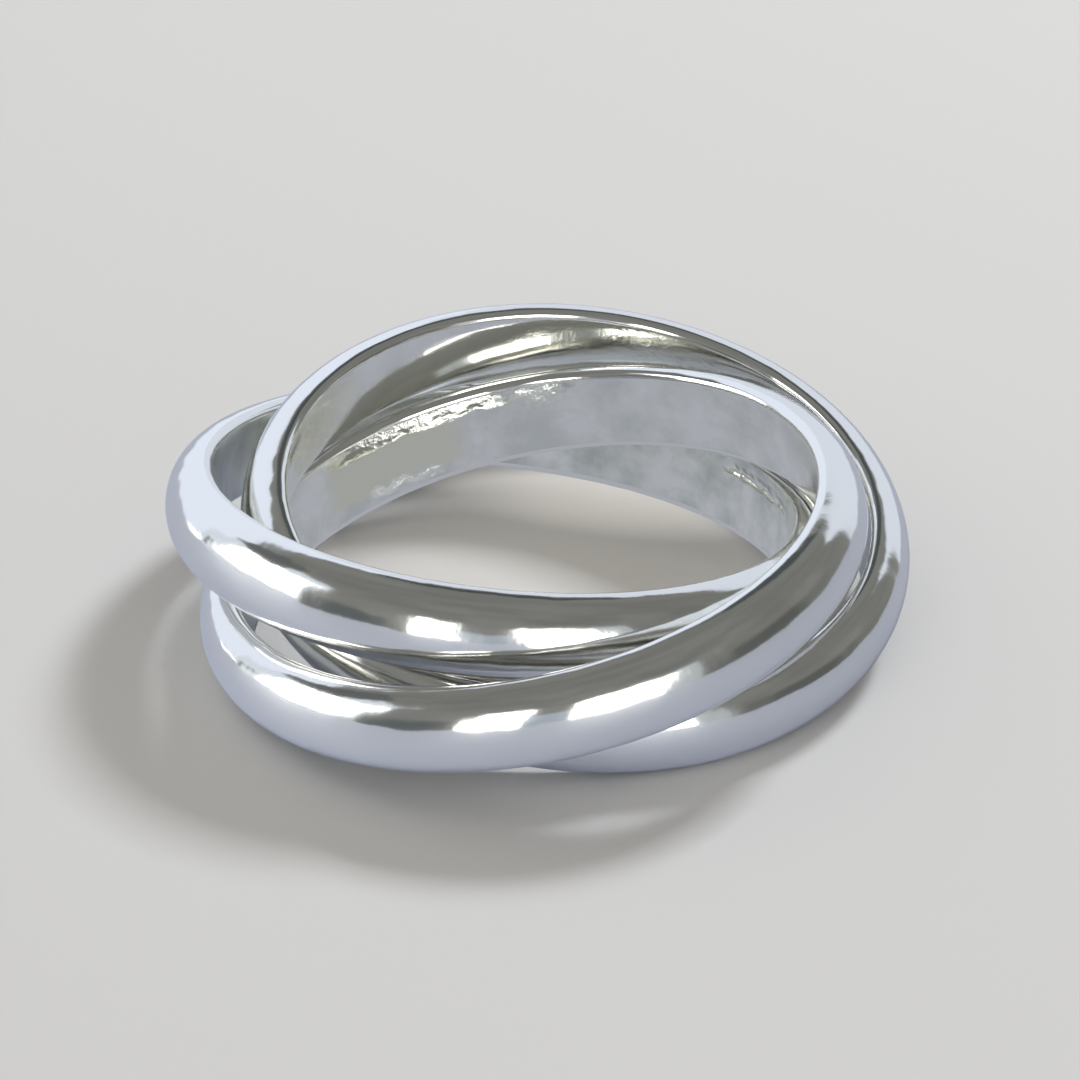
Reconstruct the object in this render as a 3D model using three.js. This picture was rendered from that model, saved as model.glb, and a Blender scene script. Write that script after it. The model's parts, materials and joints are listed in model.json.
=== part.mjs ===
// Three-band rolling ring: three plain silver bands that pass through one another and nest.
// Millimetres, +Z up. The ring lies on its side on z = 0, with the finger's axis along Z.

import * as THREE from 'three';

// The section that all three bands share: flat inside, domed outside.
const INSIDE_RADIUS = 10.0;
const BAND_WIDTH = 3.1;
const BAND_THICKNESS = 1.5;
const EDGE_RADIUS = 0.18; // rounding of the two inside edges
const DOME_FULLNESS = 2.25; // 2 is a half ellipse, a larger number is squarer

// How each band lies in the nest. Its centre is moved off the finger's axis, towards its own
// heading, and it is tilted so that its lowest point is a quarter turn clockwise from there.
const CENTRE_OFFSET = 1.5;
const BAND_TILT = 11.2; // degrees
const LOW_SIDE_TURN = -86; // degrees, from the heading to the lowest point

const BANDS = [
  { name: 'band_right', heading: 25, colour: 0xdadde3 },
  { name: 'band_left', heading: 145, colour: 0xd6d9df },
  { name: 'band_front', heading: 265, colour: 0xd2d5db },
];

// Facets
const FACETS_ROUND_BAND = 96;
const FACETS_OVER_DOME = 14;
const FACETS_PER_EDGE = 2;

const radians = THREE.MathUtils.degToRad;

// A closed section, as (radius, height) points. It starts and ends at the upper end of the
// flat inside face, and goes down that face, round the lower edge, over the dome and back.
function bandSection() {
  const halfWidth = BAND_WIDTH / 2;
  const domeFoot = INSIDE_RADIUS + EDGE_RADIUS;
  const domeHeight = BAND_THICKNESS - EDGE_RADIUS;
  const points = [];

  const addEdge = (side) => {
    for (let step = 0; step < FACETS_PER_EDGE; step += 1) {
      const along = step / FACETS_PER_EDGE;
      const angle = (Math.PI / 2) * (side < 0 ? along : 1 - along);
      const radius = domeFoot - EDGE_RADIUS * Math.cos(angle);
      const height = halfWidth - EDGE_RADIUS * (1 - Math.sin(angle));
      points.push(new THREE.Vector2(radius, side * height));
    }
  };

  addEdge(-1);
  for (let step = 0; step < FACETS_OVER_DOME; step += 1) {
    const angle = Math.PI * (step / FACETS_OVER_DOME - 0.5);
    const out = Math.abs(Math.cos(angle)) ** (2 / DOME_FULLNESS);
    const up = Math.sign(angle) * Math.abs(Math.sin(angle)) ** (2 / DOME_FULLNESS);
    points.push(new THREE.Vector2(domeFoot + domeHeight * out, halfWidth * up));
  }
  addEdge(1);
  points.push(new THREE.Vector2(INSIDE_RADIUS, halfWidth - EDGE_RADIUS));
  points.push(points[0].clone());
  return points;
}

// One band about Z, its middle plane at z = 0.
function bandGeometry() {
  const geometry = new THREE.LatheGeometry(bandSection(), FACETS_ROUND_BAND);
  geometry.rotateX(Math.PI / 2);
  return geometry;
}

function silver(colour) {
  return new THREE.MeshStandardMaterial({ color: colour, roughness: 0.1, metalness: 1 });
}

// A band in its place: the seat is at the band's centre and faces its low side.
function seatedBand({ name, heading, colour }) {
  const band = new THREE.Mesh(bandGeometry(), silver(colour));
  band.name = name;
  band.rotation.y = radians(BAND_TILT);

  const seat = new THREE.Group();
  const direction = radians(heading);
  seat.position.set(CENTRE_OFFSET * Math.cos(direction), CENTRE_OFFSET * Math.sin(direction), 0);
  seat.rotation.z = radians(heading + LOW_SIDE_TURN);
  seat.add(band);
  return seat;
}

const ring = new THREE.Group();
for (const band of BANDS) {
  ring.add(seatedBand(band));
}

// The nest rests on z = 0, with the middle of its outer size over the origin.
const size = new THREE.Box3().setFromObject(ring, true);
const middle = size.getCenter(new THREE.Vector3());
ring.position.set(-middle.x, -middle.y, -size.min.z);

export default ring;
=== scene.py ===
import json
import math

import bmesh
import bpy
import numpy as np
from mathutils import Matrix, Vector

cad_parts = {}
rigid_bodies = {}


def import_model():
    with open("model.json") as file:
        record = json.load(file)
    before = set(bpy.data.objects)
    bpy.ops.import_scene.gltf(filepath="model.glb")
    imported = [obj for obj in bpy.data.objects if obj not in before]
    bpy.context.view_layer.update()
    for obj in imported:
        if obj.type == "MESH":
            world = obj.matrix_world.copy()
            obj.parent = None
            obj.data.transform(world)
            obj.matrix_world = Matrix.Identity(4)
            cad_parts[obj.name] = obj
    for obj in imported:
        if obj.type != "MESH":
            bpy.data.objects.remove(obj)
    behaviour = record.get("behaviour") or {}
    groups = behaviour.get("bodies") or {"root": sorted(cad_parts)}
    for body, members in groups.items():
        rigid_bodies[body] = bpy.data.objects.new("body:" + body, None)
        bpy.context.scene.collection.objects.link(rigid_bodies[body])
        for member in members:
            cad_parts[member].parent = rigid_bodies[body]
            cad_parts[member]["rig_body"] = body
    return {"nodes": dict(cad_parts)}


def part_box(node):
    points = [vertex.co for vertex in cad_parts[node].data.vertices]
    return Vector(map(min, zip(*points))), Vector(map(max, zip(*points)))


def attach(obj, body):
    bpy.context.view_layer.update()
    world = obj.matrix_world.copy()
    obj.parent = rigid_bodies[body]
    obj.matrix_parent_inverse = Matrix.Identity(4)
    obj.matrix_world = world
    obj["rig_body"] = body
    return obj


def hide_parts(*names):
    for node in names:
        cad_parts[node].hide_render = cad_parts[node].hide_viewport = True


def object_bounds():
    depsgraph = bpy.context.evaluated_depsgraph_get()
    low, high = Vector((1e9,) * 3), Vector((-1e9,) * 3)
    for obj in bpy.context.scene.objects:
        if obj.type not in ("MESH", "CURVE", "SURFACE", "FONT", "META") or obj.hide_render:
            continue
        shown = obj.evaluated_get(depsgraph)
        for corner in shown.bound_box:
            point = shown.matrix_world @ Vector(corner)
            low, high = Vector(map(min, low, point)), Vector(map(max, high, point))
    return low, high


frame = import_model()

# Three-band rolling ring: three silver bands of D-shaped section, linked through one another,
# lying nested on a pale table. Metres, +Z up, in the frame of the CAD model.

cad_low, cad_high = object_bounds()

MM = 0.001

# The D-shaped section is measured on the CAD bands, but for the rounding of its inside edges. A
# bevel profile of a half makes a quarter circle, and the dome's is then pressed flatter. Points
# within SAME_PLACE of one another count as one.
EDGE_RADIUS = 0.26 * MM
ROUND_PROFILE = 0.5
STEPS_PER_DOME_SIDE = 22
STEPS_PER_EDGE = 5
CUTS_ACROSS_INSIDE = 7
STEPS_ROUND_BAND = 720
SAME_PLACE = 0.0005 * MM

# Camera: a long lens, held level, that looks down on the ring. Its pitch is in degrees, and its
# lens in millimetres.
CAMERA_DISTANCE = 169.5 * MM
CAMERA_PITCH = 30.08
LENS = 165.5
AIM_OFFSET = Vector((0.06, 0.19, 0.0)) * MM

# What buffing leaves on the outside, in layers of bumps: their size and depth in millimetres, and
# how much finer detail they hold. The wheel eats waves and shorter ripples into the metal, which
# bend what it mirrors. The real mottle is finer, and is drawn this coarse so that it shows.
BUFFING = [
    {"bumps": "waves", "size": 3.0, "depth": 0.04, "detail": 0.0},
    {"bumps": "ripples", "size": 1.0, "depth": 0.03, "detail": 0.0},
    {"bumps": "mottle", "size": 0.3, "depth": 0.0025, "detail": 1.0},
]
BUFFED_COLOUR = "#f8f7f3"
BUFFED_ROUGHNESS = 0.12

# Sizes of what shows inside the bands. The felt's own marks are finer than the brushing here,
# which is drawn this coarse so that it shows. The film of polish goes from thick to thin where
# the noise of its clouds goes from CLOUDS_FROM to CLOUDS_TO, and FINE_SHARE is how strong the
# finer detail of the clouds and the crinkles is.
WAVE_SIZE = 2.5 * MM
BRUSHING_LENGTH = 3.0 * MM
BRUSHING_WIDTH = 0.12 * MM
CRINKLE_SIZE = 0.26 * MM
CLOUD_SIZE = 1.8 * MM
CLOUDS_FROM = 0.35
CLOUDS_TO = 0.65
FINE_SHARE = 0.6

# What the inside of each band still shows of its making. roughness is the polish of its metal,
# wavy and brushed are how deep its waves and brushing are, in millimetres, and film is its colour
# where the film of polish is thick and where it is thin. The marks are areas of it, which
# marked_area places: crinkle is how deep the casting's crinkled skin is left there, worn is how
# far the metal falls away across the area, both in millimetres, and colour is its own.
BORES = {
    "band_right": {"roughness": 0.10, "wavy": 0.02, "brushed": 0.0005,
                   "film": ("#f0f0eb", "#f9f9f5"), "marks": [
        {"turn": 82, "span": 50, "ends": 6, "low": -0.2, "high": 1.8, "border": 0.5,
         "ragged": 1.0, "crinkle": 0.012, "worn": 0.0, "colour": "#f3f4ee"}]},
    "band_front": {"roughness": 0.19, "wavy": 0.03, "brushed": 0.001,
                   "film": ("#e6e7e0", "#fbfbf6"), "marks": [
        {"turn": 121, "span": 38, "ends": 7, "low": -1.0, "high": 1.3, "border": 0.4,
         "ragged": 0.7, "crinkle": 0.0, "worn": 0.0, "colour": "#f0eedb"},
        {"turn": 114, "span": 46, "ends": 8, "low": 0.65, "high": 1.9, "border": 0.45,
         "ragged": 0.9, "crinkle": 0.08, "worn": 0.48, "colour": "#f8f8f2"},
        {"turn": 86, "span": 20, "ends": 9, "low": 0.0, "high": 2.4, "border": 1.3,
         "ragged": 1.2, "crinkle": 0.07, "worn": 0.26, "colour": "#f8f8f2"},
        {"turn": 118, "span": 20, "ends": 4, "low": -1.25, "high": -0.65, "border": 0.25,
         "ragged": 0.9, "crinkle": 0.12, "worn": 0.0, "colour": "#f4f5ee"}]},
    "band_left": {"roughness": 0.20, "wavy": 0.03, "brushed": 0.001,
                  "film": ("#d8dbd3", "#fffff8"), "marks": [
        {"turn": 24, "span": 34, "ends": 9, "low": 0.45, "high": 1.05, "border": 0.29,
         "ragged": 0.5, "crinkle": 0.02, "worn": 0.165, "colour": "#fcfcf8"}]},
}

# The table and its middle, a round that fades out under the bands: the camera sees the middle as
# card painted lighter and warmer than the table, a painted pool of light and warm shade in the
# finger hole, and the metal sees it as an even glow just above that. The metal alone sees the
# lavender card too, which lies under the ring and reaches further in front of it than behind it.
TABLE_SIZE = 4.0
MIDDLE_PLACE = Vector((0.5, 2.5, 0.005)) * MM
GLOW_PLACE = Vector((0.5, 2.5, 0.008)) * MM
MIDDLE_RADIUS = 10.2 * MM
MIDDLE_FADE = 2.0 * MM
CARD_SIZE = 150 * MM
CARD_PLACE = Vector((0.0, -10.0, 0.002)) * MM
STEPS_ROUND_MIDDLE = 128

# Upright panels round the ring, which only its metal mirrors. The windows and the pane make its
# white highlights, the walls and curtains its pale sides, and the rest its darker borders and
# lines. Angles are in degrees: azimuth 0 is straight ahead of the camera and 90 is to its right,
# and low and high are where the panel ends, above the table or, if negative, below it. light is
# how bright the panel is, and fade is the share of its half size over which that falls off at
# the border. distance is in metres, and a nearer panel hides a further one.
PANELS = [
    {"name": "left_window", "azimuth": -91.5, "width": 41, "low": 1, "high": 36,
     "colour": "#ffffff", "light": 4.5, "fade": 0.12, "distance": 0.60},
    {"name": "left_low_pane", "azimuth": -58, "width": 10, "low": -11, "high": 1,
     "colour": "#ffffff", "light": 3.5, "fade": 0.60, "distance": 0.58},
    {"name": "left_post", "azimuth": -66, "width": 4, "low": -3, "high": 11,
     "colour": "#5a5f5c", "light": 1.0, "fade": 0.50, "distance": 0.58},
    {"name": "left_shade", "azimuth": -73, "width": 36, "low": 31, "high": 52,
     "colour": "#585c5c", "light": 1.0, "fade": 0.25, "distance": 0.59},
    {"name": "left_curtain", "azimuth": -87, "width": 60, "low": -16, "high": 46,
     "colour": "#c4ccd6", "light": 1.15, "fade": 0.20, "distance": 0.62},
    {"name": "back_left_wall", "azimuth": -31, "width": 68, "low": -16, "high": 46,
     "colour": "#d3dbea", "light": 1.2, "fade": 0.10, "distance": 0.64},
    {"name": "back_right_wall", "azimuth": 25, "width": 56, "low": -16, "high": 39,
     "colour": "#c9d0dc", "light": 1.17, "fade": 0.12, "distance": 0.66},
    {"name": "back_shade", "azimuth": 9, "width": 33, "low": 40, "high": 55,
     "colour": "#44494c", "light": 1.0, "fade": 0.30, "distance": 0.60},
    {"name": "front_right_window", "azimuth": 156, "width": 36, "low": -9, "high": 31,
     "colour": "#ffffff", "light": 4.5, "fade": 0.30, "distance": 0.60},
    {"name": "front_right_curtain", "azimuth": 138, "width": 22, "low": -9, "high": 34,
     "colour": "#acb3b8", "light": 1.0, "fade": 0.30, "distance": 0.62},
    {"name": "front_left_window", "azimuth": -160, "width": 18, "low": -17, "high": 31,
     "colour": "#ffffff", "light": 4.5, "fade": 0.30, "distance": 0.60},
    {"name": "front_sill", "azimuth": 184, "width": 24, "low": -16, "high": 18,
     "colour": "#9fa9b4", "light": 1.0, "fade": 0.30, "distance": 0.64},
    {"name": "right_corner", "azimuth": 103, "width": 50, "low": -12, "high": 20,
     "colour": "#575a59", "light": 1.0, "fade": 0.60, "distance": 0.64},
    {"name": "left_corner", "azimuth": -131, "width": 34, "low": -12, "high": 20,
     "colour": "#585f61", "light": 1.0, "fade": 0.60, "distance": 0.64},
    {"name": "left_sill", "azimuth": -124, "width": 30, "low": -26, "high": -6,
     "colour": "#a7aeb8", "light": 1.0, "fade": 0.40, "distance": 0.62},
]

# Softboxes, which the metal doesn't mirror, and what each lights. The key, behind the ring to
# the right, gives the table its shadow. The low one, in front, reaches over the bands into the
# far side of the finger hole, and the high one, over the camera, lights the lavender card. Sizes
# are in metres, and powers in watts.
SOFTBOX_DISTANCE = 0.5
SOFTBOXES = [
    {"name": "key_softbox", "azimuth": 42, "elevation": 47, "size": 0.11, "power": 1.75,
     "colour": "#f6f9ff", "lights": ["table", "table_middle"]},
    {"name": "low_softbox", "azimuth": -168, "elevation": 20, "size": 0.07, "power": 8.6,
     "colour": "#fffcf8", "lights": ["table_middle"]},
    {"name": "high_softbox", "azimuth": -150, "elevation": 60, "size": 0.40, "power": 0.92,
     "colour": "#fdfdff", "lights": ["lavender_card"]},
]

# The card: its gloss is its specular level, and the table and its middle have none, so that they
# don't mirror the sheets above them. The real fibre is finer, and is drawn this coarse so that
# it shows.
TABLE_COLOUR = "#cbcbcb"
# The middle's card is painted lighter and warmer than the table's: painted light and warm shade
# in the finger hole.
PAINTED_MIDDLE_COLOUR = "#d4d2cf"
LAVENDER_COLOUR = "#b1b9cd"
TABLE_GLOSS = 0.0
LAVENDER_GLOSS = 0.5
CARD_ROUGHNESS = 0.6
FIBRE_SIZE = 1.5 * MM
FIBRE_HEIGHT = 0.02 * MM
FIBRE_STRENGTH = 0.3

# The glow of the middle, the two colours of the room that the metal mirrors where no panel is,
# how finely they alternate, and the air that everything else sees.
GLOW_COLOUR = "#a8acb6"
ROOM_DARK = "#5c5e5c"
ROOM_LIGHT = "#888986"
ROOM_SCALE = 2.5
AIR_COLOUR = "#d0cdc7"

# Where a Mix node that mixes colours has its two colours, and where it gives its result.
FIRST_COLOUR = 6
SECOND_COLOUR = 7
MIXED_COLOUR = 2


# ---- what several pieces use ----

def linear(hex_colour):
    """An sRGB hex colour as the linear RGBA that shaders take."""
    channels = [int(hex_colour[i:i + 2], 16) / 255 for i in (1, 3, 5)]
    lit = [c / 12.92 if c <= 0.04045 else ((c + 0.055) / 1.055) ** 2.4 for c in channels]
    return (*lit, 1.0)


def add_node(tree, kind, inputs=None, **settings):
    """Add a shader node. settings are its properties. inputs are values, or sockets to link,
    each by the name or number of the input that it goes to."""
    node = tree.nodes.new(kind)
    for name, value in settings.items():
        setattr(node, name, value)
    for name, value in (inputs or {}).items():
        if isinstance(value, bpy.types.NodeSocket):
            tree.links.new(value, node.inputs[name])
        else:
            node.inputs[name].default_value = value
    return node


def new_material(name):
    """An empty material, and its node tree."""
    material = bpy.data.materials.new(name)
    material.use_nodes = True
    material.node_tree.nodes.clear()
    return material, material.node_tree


def towards(azimuth, elevation=0.0):
    """The direction that lies at these angles from the ring, in degrees."""
    turn, lift = math.radians(azimuth), math.radians(elevation)
    return Vector((math.sin(turn) * math.cos(lift), math.cos(turn) * math.cos(lift),
                   math.sin(lift)))


# ---- the bands ----

def measured_band(name):
    """Where a band lies and how big it is, from its CAD node."""
    low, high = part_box(name)
    centre = (low + high) / 2
    points = np.array([vertex.co - centre for vertex in frame["nodes"][name].data.vertices])

    # The points spread least along the band's own axis, which is the last of these directions.
    directions = np.linalg.svd(points, full_matrices=False)[2]
    axis = directions[2] * math.copysign(1.0, directions[2][2])
    along = points @ axis
    radii = np.linalg.norm(points - np.outer(along, axis), axis=1)
    return {"centre": centre, "axis": Vector(axis), "width": float(np.ptp(along)),
            "inside": float(radii.min()), "outside": float(radii.max())}


def pick_vertices(piece, wanted):
    """In edit mode, select just the vertices whose place passes the test."""
    mesh = bmesh.from_edit_mesh(piece.data)
    for vertex in mesh.verts:
        vertex.select_set(wanted(vertex.co))
    mesh.select_flush_mode()
    bmesh.update_edit_mesh(piece.data)


def draw_section(band):
    """Draw the D-shaped section as an outline in the XZ plane, where the band starts."""
    half_width = band["width"] / 2
    dome_foot = band["inside"] + EDGE_RADIUS
    dome_height = band["outside"] - dome_foot
    flatten = dome_height / half_width
    bpy.ops.object.select_all(action="DESELECT")
    bpy.ops.mesh.primitive_plane_add(size=band["width"], location=(dome_foot, 0, 0),
                                     rotation=(math.pi / 2, 0, 0))
    bpy.ops.object.transform_apply(location=True, rotation=True, scale=True)
    section = bpy.context.active_object
    bpy.ops.object.mode_set(mode="EDIT")
    bpy.ops.mesh.select_mode(type="VERT")

    # The inner side comes in, to lie one edge rounding below the dome once all is pressed.
    pick_vertices(section, lambda place: place.x < dome_foot)
    bpy.ops.transform.translate(value=(half_width - EDGE_RADIUS / flatten, 0, 0))

    # The outer corners round over until they meet, and the whole is pressed to the dome's height.
    pick_vertices(section, lambda place: place.x > dome_foot)
    bpy.ops.mesh.bevel(offset=half_width, segments=STEPS_PER_DOME_SIDE, profile=ROUND_PROFILE,
                       affect="VERTICES", clamp_overlap=False)
    bpy.ops.mesh.select_all(action="SELECT")
    bpy.ops.mesh.remove_doubles(threshold=SAME_PLACE)
    bpy.ops.transform.resize(value=(flatten, 1, 1), center_override=(dome_foot, 0, 0))

    # The two inside edges are eased, and the flat inside is cut into strips as fine as theirs.
    pick_vertices(section, lambda place: place.x < dome_foot - EDGE_RADIUS / 2)
    bpy.ops.mesh.bevel(offset=EDGE_RADIUS, segments=STEPS_PER_EDGE, profile=ROUND_PROFILE,
                       affect="VERTICES", clamp_overlap=False)
    bpy.ops.mesh.select_all(action="SELECT")
    bpy.ops.mesh.remove_doubles(threshold=SAME_PLACE)
    pick_vertices(section, lambda place: place.x < band["inside"] + SAME_PLACE)
    bpy.ops.mesh.subdivide(number_cuts=CUTS_ACROSS_INSIDE)

    bpy.ops.mesh.select_all(action="SELECT")
    bpy.ops.mesh.delete(type="ONLY_FACE")
    return section


def spin_band(section):
    """Spin the outline, still in edit mode, once round Z, close the ring and smooth it."""
    bpy.ops.mesh.select_all(action="SELECT")
    bpy.ops.mesh.spin(steps=STEPS_ROUND_BAND, angle=math.tau, center=(0, 0, 0), axis=(0, 0, 1))
    bpy.ops.mesh.select_all(action="SELECT")
    bpy.ops.mesh.remove_doubles(threshold=SAME_PLACE)
    bpy.ops.mesh.normals_make_consistent(inside=False)
    bpy.ops.object.mode_set(mode="OBJECT")
    bpy.ops.object.shade_smooth()
    return section


def mark_inside(piece, inside):
    """Give the flat inside of the band its own material slot, the second."""
    for face in piece.data.polygons:
        from_axis = Vector(face.center.xy).length
        face.material_index = 1 if from_axis < inside + SAME_PLACE else 0


def seat_copy(pattern, name, band):
    """Copy the band and seat the copy where its CAD band lies, with that place in its mesh."""
    bpy.ops.object.select_all(action="DESELECT")
    pattern.select_set(True)
    bpy.context.view_layer.objects.active = pattern
    bpy.ops.object.duplicate(linked=False)
    piece = bpy.context.active_object
    piece.name = name
    piece.data.name = name
    piece.location = band["centre"]
    piece.rotation_mode = "QUATERNION"
    piece.rotation_quaternion = Vector((0, 0, 1)).rotation_difference(band["axis"])
    bpy.ops.object.transform_apply(location=True, rotation=True, scale=True)
    return piece


# ---- the silver ----

def band_coordinates(tree, band):
    """Object coordinates, turned and centred so that the band's own axis is Z."""
    turn = Vector((0, 0, 1)).rotation_difference(band["axis"]).to_euler()
    place = add_node(tree, "ShaderNodeTexCoord")
    return add_node(tree, "ShaderNodeMapping", {
        "Vector": place.outputs["Object"],
        "Location": band["centre"],
        "Rotation": turn,
    }, vector_type="TEXTURE").outputs["Vector"]


def relief(tree, layers):
    """A bump from layers of (height, depth). depth is how many millimetres a height of 1 is."""
    height = 0.0
    for layer, depth in layers:
        height = add_node(tree, "ShaderNodeMath", {0: layer, 1: depth, 2: height},
                          operation="MULTIPLY_ADD").outputs["Value"]
    return add_node(tree, "ShaderNodeBump", {
        "Height": height, "Strength": 1.0, "Distance": MM}).outputs["Normal"]


def share_within(tree, spot, low, high, border):
    """1 where spot lies from low to high and 0 outside, eased over a border inside each end."""
    off_middle = add_node(tree, "ShaderNodeMath", {0: spot, 1: (low + high) / 2},
                          operation="SUBTRACT").outputs["Value"]
    distance = add_node(tree, "ShaderNodeMath", {0: off_middle},
                        operation="ABSOLUTE").outputs["Value"]
    half = (high - low) / 2
    return add_node(tree, "ShaderNodeMapRange", {
        "Value": distance, "From Min": half, "From Max": half - border,
    }, interpolation_type="SMOOTHSTEP").outputs["Result"]


def marked_area(tree, place, area):
    """1 inside an area of a band, 0 outside, with a ragged border. The area is at a turn round
    the band's axis and spans some of it, in degrees, and lies from low to high across it. It
    fades at its ends over some degrees, and at its sides over a border. Its ragged border is
    made of pieces of about the size that ragged gives. All sizes are in millimetres."""
    ragged = area["ragged"] * MM
    noise = add_node(tree, "ShaderNodeTexNoise", {
        "Vector": place, "Scale": 1 / ragged, "Detail": 2.0})
    centred = add_node(tree, "ShaderNodeVectorMath", {
        0: noise.outputs["Color"], 1: (0.5, 0.5, 0.5)}, operation="SUBTRACT")
    moved = add_node(tree, "ShaderNodeVectorMath", {
        0: centred.outputs["Vector"], 1: (ragged, ragged, ragged), 2: place},
        operation="MULTIPLY_ADD")
    spots = add_node(tree, "ShaderNodeSeparateXYZ", {"Vector": moved.outputs["Vector"]})
    turn = add_node(tree, "ShaderNodeMath", {
        0: spots.outputs["Y"], 1: spots.outputs["X"]}, operation="ARCTAN2")
    along = share_within(tree, turn.outputs["Value"],
                         math.radians(area["turn"] - area["span"] / 2),
                         math.radians(area["turn"] + area["span"] / 2),
                         math.radians(area["ends"]))
    across = share_within(tree, spots.outputs["Z"], area["low"] * MM, area["high"] * MM,
                          area["border"] * MM)
    return add_node(tree, "ShaderNodeMath", {0: along, 1: across},
                    operation="MULTIPLY").outputs["Value"]


def buffed_silver(name, band):
    """Sterling silver, cast and buffed on a wheel: mirror bright, faintly wavy where the wheel
    has eaten into it, with a mottle that breaks the edges of what it mirrors."""
    material, tree = new_material(name)
    place = band_coordinates(tree, band)
    layers = []
    for layer in BUFFING:
        bumps = add_node(tree, "ShaderNodeTexNoise", {
            "Vector": place, "Scale": 1 / (layer["size"] * MM), "Detail": layer["detail"],
        }, label=layer["bumps"])
        layers.append((bumps.outputs["Fac"], layer["depth"]))
    silver = add_node(tree, "ShaderNodeBsdfPrincipled", {
        "Base Color": linear(BUFFED_COLOUR), "Metallic": 1.0, "Roughness": BUFFED_ROUGHNESS,
        "Normal": relief(tree, layers)})
    add_node(tree, "ShaderNodeOutputMaterial", {"Surface": silver.outputs["BSDF"]})
    return material


def cloudy_film(tree, place, film):
    """The colour of silver under a film of polish that lies on it in clouds."""
    clouds = add_node(tree, "ShaderNodeTexNoise", {
        "Vector": place, "Scale": 1 / CLOUD_SIZE, "Detail": 4.0, "Roughness": FINE_SHARE})
    thinness = add_node(tree, "ShaderNodeMapRange", {
        "Value": clouds.outputs["Fac"], "From Min": CLOUDS_FROM, "From Max": CLOUDS_TO})
    return add_node(tree, "ShaderNodeMix", {
        "Factor": thinness.outputs["Result"],
        FIRST_COLOUR: linear(film[0]),
        SECOND_COLOUR: linear(film[1]),
    }, data_type="RGBA").outputs[MIXED_COLOUR]


def rubbed_silver(name, band, bore):
    """The same silver inside the band, where the wheel doesn't reach: it is only rubbed with a
    felt bob, so it mirrors softly, has marks that run round the bore and a cloudy film of
    polish, and keeps some of the casting's crinkled skin."""
    material, tree = new_material(name)
    place = band_coordinates(tree, band)
    waves = add_node(tree, "ShaderNodeTexNoise", {
        "Vector": place, "Scale": 1 / WAVE_SIZE, "Detail": 1.0})
    drawn_out = add_node(tree, "ShaderNodeMapping", {
        "Vector": place,
        "Scale": (1 / BRUSHING_LENGTH, 1 / BRUSHING_LENGTH, 1 / BRUSHING_WIDTH)})
    brushing = add_node(tree, "ShaderNodeTexNoise", {
        "Vector": drawn_out.outputs["Vector"], "Scale": 1.0, "Detail": 2.0})
    crinkles = add_node(tree, "ShaderNodeTexNoise", {
        "Vector": place, "Scale": 1 / CRINKLE_SIZE, "Detail": 4.0, "Roughness": FINE_SHARE})
    above_mean = add_node(tree, "ShaderNodeMath", {
        0: crinkles.outputs["Fac"], 1: 0.5}, operation="SUBTRACT")
    across = add_node(tree, "ShaderNodeSeparateXYZ", {"Vector": place}).outputs["Z"]

    colour = cloudy_film(tree, place, bore["film"])
    layers = [(waves.outputs["Fac"], bore["wavy"]), (brushing.outputs["Fac"], bore["brushed"])]
    for mark in bore["marks"]:
        share = marked_area(tree, place, mark)
        crinkled = add_node(tree, "ShaderNodeMath", {
            0: share, 1: above_mean.outputs["Value"]}, operation="MULTIPLY")
        falling = add_node(tree, "ShaderNodeMapRange", {
            "Value": across, "From Min": mark["low"] * MM, "From Max": mark["high"] * MM})
        fallen = add_node(tree, "ShaderNodeMath", {
            0: share, 1: falling.outputs["Result"]}, operation="MULTIPLY")
        layers.append((crinkled.outputs["Value"], mark["crinkle"]))
        layers.append((fallen.outputs["Value"], -mark["worn"]))
        colour = add_node(tree, "ShaderNodeMix", {
            "Factor": share,
            FIRST_COLOUR: colour,
            SECOND_COLOUR: linear(mark["colour"]),
        }, data_type="RGBA").outputs[MIXED_COLOUR]

    silver = add_node(tree, "ShaderNodeBsdfPrincipled", {
        "Base Color": colour, "Metallic": 1.0, "Roughness": bore["roughness"],
        "Normal": relief(tree, layers)})
    add_node(tree, "ShaderNodeOutputMaterial", {"Surface": silver.outputs["BSDF"]})
    return material


# ---- the stage ----

def card_shader(tree, place, colour, gloss):
    """Matt card, with a faint fibre to it."""
    fibre = add_node(tree, "ShaderNodeTexNoise", {
        "Vector": place, "Scale": 1 / FIBRE_SIZE, "Detail": 3.0})
    raised = add_node(tree, "ShaderNodeBump", {
        "Height": fibre.outputs["Fac"], "Strength": FIBRE_STRENGTH, "Distance": FIBRE_HEIGHT})
    return add_node(tree, "ShaderNodeBsdfPrincipled", {
        "Base Color": linear(colour), "Roughness": CARD_ROUGHNESS, "Specular IOR Level": gloss,
        "Normal": raised.outputs["Normal"]}).outputs["BSDF"]


def matt_card(name, colour, gloss):
    """A sheet of matt card."""
    material, tree = new_material(name)
    place = add_node(tree, "ShaderNodeTexCoord").outputs["Object"]
    card = card_shader(tree, place, colour, gloss)
    add_node(tree, "ShaderNodeOutputMaterial", {"Surface": card})
    return material


def melt_away(tree, share, shader):
    """End a material with its shader, which is clear where its share is 0."""
    clear = add_node(tree, "ShaderNodeBsdfTransparent")
    mixed = add_node(tree, "ShaderNodeMixShader", {
        "Fac": share, 1: clear.outputs["BSDF"], 2: shader})
    add_node(tree, "ShaderNodeOutputMaterial", {"Surface": mixed.outputs["Shader"]})


def painted_warm_middle(tree, place):
    """The card of the middle, painted lighter and warmer than the table: a painted pool of light
    and warm shade in the finger hole.
    """
    return card_shader(tree, place, PAINTED_MIDDLE_COLOUR, TABLE_GLOSS)


def glow_shade(tree, place):
    """The even glow of the middle, the same at every place."""
    return add_node(tree, "ShaderNodeEmission", {
        "Color": linear(GLOW_COLOUR)}).outputs["Emission"]


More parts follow.
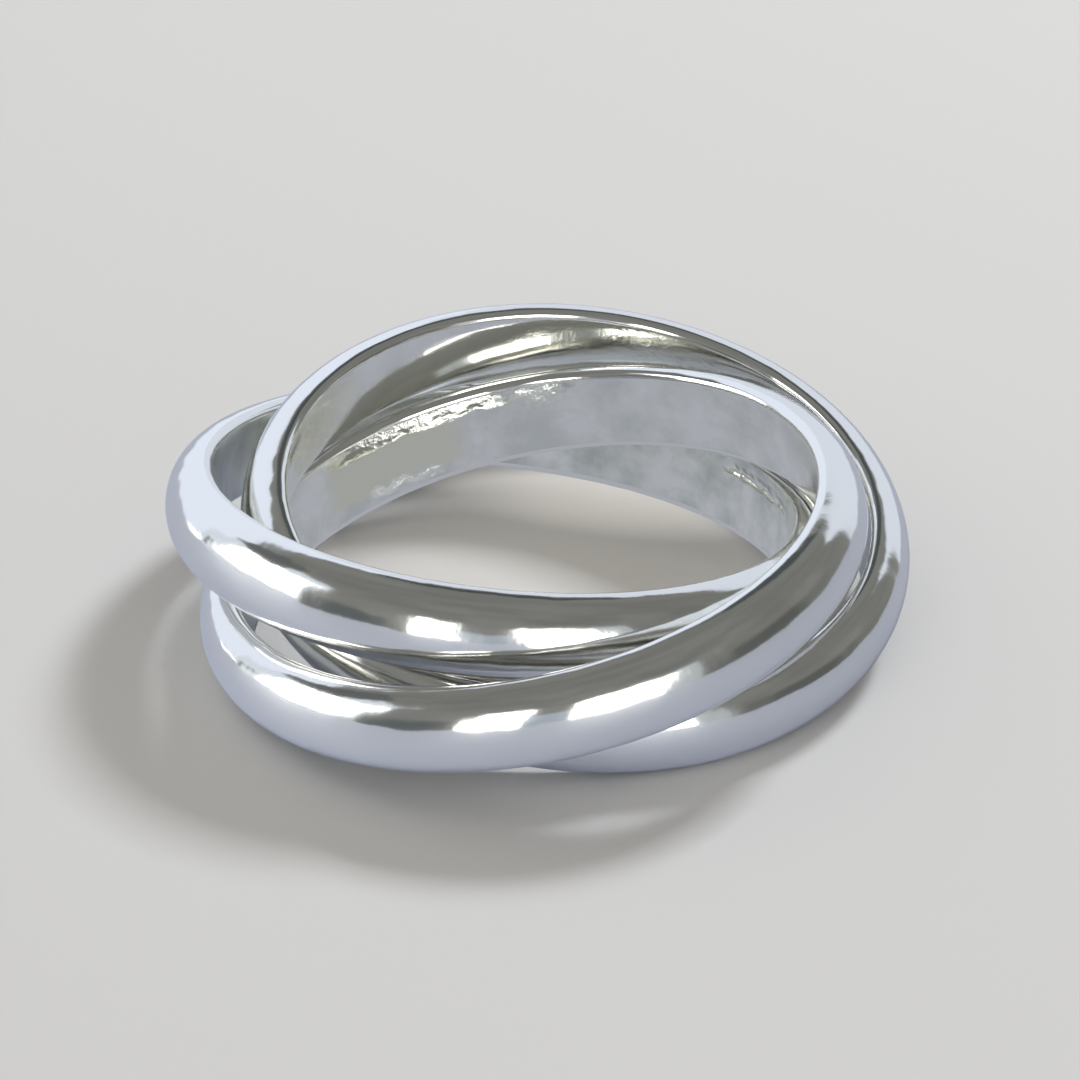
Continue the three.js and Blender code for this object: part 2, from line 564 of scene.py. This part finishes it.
def fading_round(name, shade):
    """A round in the middle of the table whose border melts away. shade gives its shader."""
    material, tree = new_material(name)
    place = add_node(tree, "ShaderNodeTexCoord").outputs["Object"]
    off_middle = add_node(tree, "ShaderNodeVectorMath", {0: place, 1: MIDDLE_PLACE},
                          operation="DISTANCE").outputs["Value"]
    share = share_within(tree, off_middle, -MIDDLE_RADIUS, MIDDLE_RADIUS, MIDDLE_FADE)
    melt_away(tree, share, shade(tree, place))
    return material


def glowing_panel(panel):
    """Even light that fades out towards the panel's border."""
    material, tree = new_material(panel["name"])
    place = add_node(tree, "ShaderNodeTexCoord")
    spots = add_node(tree, "ShaderNodeSeparateXYZ", {"Vector": place.outputs["UV"]})
    across, upwards = (share_within(tree, spots.outputs[side], 0.0, 1.0, panel["fade"] / 2)
                       for side in ("X", "Y"))
    share = add_node(tree, "ShaderNodeMath", {0: across, 1: upwards}, operation="MULTIPLY")
    light = add_node(tree, "ShaderNodeEmission", {
        "Color": linear(panel["colour"]), "Strength": panel["light"]})
    melt_away(tree, share.outputs["Value"], light.outputs["Emission"])
    return material


def show_to_metal_alone(sheet):
    """Let only the metal see a sheet, which then casts no shadow either."""
    sheet.visible_camera = False
    sheet.visible_diffuse = False
    sheet.visible_shadow = False


def lay_card(name, size, place, material):
    """Lay a square of card, level, with its place in its mesh."""
    bpy.ops.object.select_all(action="DESELECT")
    bpy.ops.mesh.primitive_plane_add(size=size, location=place)
    bpy.ops.object.transform_apply(location=True, rotation=True, scale=True)
    card = bpy.context.active_object
    card.name = name
    card.data.materials.append(material)
    return card


def lay_table():
    """Lay the pale table, which the metal doesn't mirror."""
    pale = matt_card("pale_card", TABLE_COLOUR, TABLE_GLOSS)
    table = lay_card("table", TABLE_SIZE, (0, 0, 0), pale)
    table.visible_glossy = False


def lay_lavender_card():
    """Lay the lavender card under the ring, which only the metal mirrors."""
    lavender = matt_card("lavender_card", LAVENDER_COLOUR, LAVENDER_GLOSS)
    show_to_metal_alone(lay_card("lavender_card", CARD_SIZE, CARD_PLACE, lavender))


def lay_round(name, place, shade):
    """Lay one round in the middle of the table, with its place in its mesh."""
    bpy.ops.object.select_all(action="DESELECT")
    bpy.ops.mesh.primitive_circle_add(vertices=STEPS_ROUND_MIDDLE, radius=MIDDLE_RADIUS,
                                      fill_type="NGON", location=place)
    bpy.ops.object.transform_apply(location=True, rotation=True, scale=True)
    middle = bpy.context.active_object
    middle.name = name
    middle.data.materials.append(fading_round(name, shade))
    return middle


def lay_middle():
    """Lay the middle of the table: what shows in the finger hole, and what the metal mirrors."""
    # The middle that the camera sees is card painted lighter and warmer: painted light and warm
    # shade in the finger hole.
    seen = lay_round("table_middle", MIDDLE_PLACE, painted_warm_middle)
    seen.visible_glossy = False
    seen.visible_shadow = False
    show_to_metal_alone(lay_round("middle_glow", GLOW_PLACE, glow_shade))


def hang_panel(panel):
    """Hang one panel upright, facing the ring."""
    bottom, top = (panel["distance"] * math.tan(math.radians(panel[end]))
                   for end in ("low", "high"))
    width = 2 * panel["distance"] * math.tan(math.radians(panel["width"] / 2))
    middle = towards(panel["azimuth"]) * panel["distance"]
    bpy.ops.object.select_all(action="DESELECT")
    bpy.ops.mesh.primitive_plane_add(size=1.0)
    sheet = bpy.context.active_object
    sheet.name = panel["name"]
    sheet.scale = (width, top - bottom, 1.0)
    sheet.rotation_euler = (math.pi / 2, 0, -math.radians(panel["azimuth"]))
    sheet.location = (middle.x, middle.y, (bottom + top) / 2)
    bpy.ops.object.transform_apply(location=True, rotation=True, scale=True)
    sheet.data.materials.append(glowing_panel(panel))
    show_to_metal_alone(sheet)


# ---- the light and the camera ----

def fill_with_air():
    """The air of the studio: pale to the camera and the table, a dim olive room in the metal."""
    world = bpy.data.worlds.new("studio_air")
    bpy.context.scene.world = world
    world.use_nodes = True
    tree = world.node_tree
    tree.nodes.clear()
    path = add_node(tree, "ShaderNodeLightPath")
    place = add_node(tree, "ShaderNodeTexCoord")
    clutter = add_node(tree, "ShaderNodeTexNoise", {
        "Vector": place.outputs["Generated"], "Scale": ROOM_SCALE, "Detail": 2.0})
    room = add_node(tree, "ShaderNodeMix", {
        "Factor": clutter.outputs["Fac"],
        FIRST_COLOUR: linear(ROOM_DARK),
        SECOND_COLOUR: linear(ROOM_LIGHT),
    }, data_type="RGBA")
    colour = add_node(tree, "ShaderNodeMix", {
        "Factor": path.outputs["Is Glossy Ray"],
        FIRST_COLOUR: linear(AIR_COLOUR),
        SECOND_COLOUR: room.outputs[MIXED_COLOUR],
    }, data_type="RGBA")
    background = add_node(tree, "ShaderNodeBackground", {"Color": colour.outputs[MIXED_COLOUR]})
    add_node(tree, "ShaderNodeOutputWorld", {"Surface": background.outputs["Background"]})


def hang_softbox(box):
    """Hang a softbox that faces the ring and lights only the sheets that it names."""
    place = towards(box["azimuth"], box["elevation"]) * SOFTBOX_DISTANCE
    bpy.ops.object.select_all(action="DESELECT")
    bpy.ops.object.light_add(type="AREA", location=place)
    softbox = bpy.context.active_object
    softbox.name = box["name"]
    softbox.rotation_euler = place.to_track_quat("Z", "Y").to_euler()
    softbox.data.energy = box["power"]
    softbox.data.size = box["size"]
    softbox.data.color = linear(box["colour"])[:3]
    softbox.visible_glossy = False
    softbox.visible_camera = False
    lit = bpy.data.collections.new(box["name"] + "_lights")
    softbox.light_linking.receiver_collection = lit
    for name in box["lights"]:
        lit.objects.link(bpy.data.objects[name])


def set_camera():
    """Put the camera in front of the ring, level and looking down."""
    aim = (cad_low + cad_high) / 2 + AIM_OFFSET
    back = towards(180, CAMERA_PITCH)
    bpy.ops.object.camera_add(location=aim + back * CAMERA_DISTANCE)
    camera = bpy.context.active_object
    camera.rotation_euler = (math.radians(90 - CAMERA_PITCH), 0, 0)
    camera.data.lens = LENS
    camera.data.clip_start = CAMERA_DISTANCE / 100
    bpy.context.scene.camera = camera


# ---- the whole scene ----

bpy.context.scene.view_settings.view_transform = "Standard"
set_camera()
fill_with_air()
lay_table()
lay_middle()
lay_lavender_card()
for box in SOFTBOXES:
    hang_softbox(box)
for panel in PANELS:
    hang_panel(panel)

# The three bands are alike, so one is modelled, lying flat, and a copy is seated for each.
bands = {name: measured_band(name) for name in sorted(frame["nodes"])}
alike = next(iter(bands.values()))
pattern = spin_band(draw_section(alike))
mark_inside(pattern, alike["inside"])
for node, band in bands.items():
    piece = seat_copy(pattern, "silver_" + node, band)
    piece.data.materials.append(buffed_silver("buffed_silver_" + node, band))
    piece.data.materials.append(rubbed_silver("rubbed_silver_" + node, band, BORES[node]))
    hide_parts(node)
    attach(piece, frame["nodes"][node]["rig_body"])
bpy.data.objects.remove(pattern)
